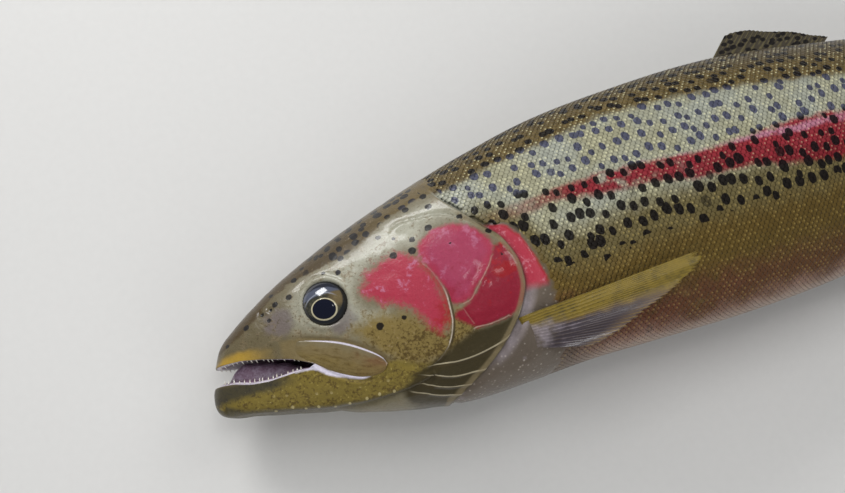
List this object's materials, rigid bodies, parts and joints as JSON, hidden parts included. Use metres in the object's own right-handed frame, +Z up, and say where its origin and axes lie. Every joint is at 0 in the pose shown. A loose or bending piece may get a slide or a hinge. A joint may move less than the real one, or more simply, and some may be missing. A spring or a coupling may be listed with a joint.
{
  "type": "rainbow trout",
  "caption": "Life-size still model of a caught rainbow trout lying on its right side, mouth a little open, for a display or a fish counter.",
  "frame": {"origin": "centre of the bounding box's bottom face, on the floor under the fish", "axes": "+X from the snout to the tail, +Y towards the back (dorsal side), +Z up, out of the left flank"},
  "size_m": [0.6258, 0.156, 0.0772],
  "materials": {
    "skin": "wet scaled skin, olive back, pale flank, red stripe, dark spots",
    "jaw": "wet smooth skin, golden olive",
    "gill_cover": "wet smooth skin, crimson to pink",
    "fin": "wet rayed membrane, golden to grey",
    "mouth": "wet purplish lining",
    "eye": "glossy eye with a gold-ringed pupil"
  },
  "bodies": {
    "root": {"head": "skin", "lower_jaw": "jaw", "maxilla_left": "jaw", "maxilla_right": "jaw", "gill_cover_left": "gill_cover", "gill_cover_right": "gill_cover", "throat": "skin", "trunk_front": "skin", "trunk_middle": "skin", "trunk_rear": "skin", "tail_stalk": "skin", "tongue": "mouth", "eye_left": "eye", "eye_right": "eye", "dorsal_fin": "fin", "adipose_fin": "fin", "anal_fin": "fin", "caudal_fin": "fin", "pectoral_fin_left": "fin", "pectoral_fin_right": "fin", "pelvic_fin_left": "fin", "pelvic_fin_right": "fin"}
  },
  "joints": []
}
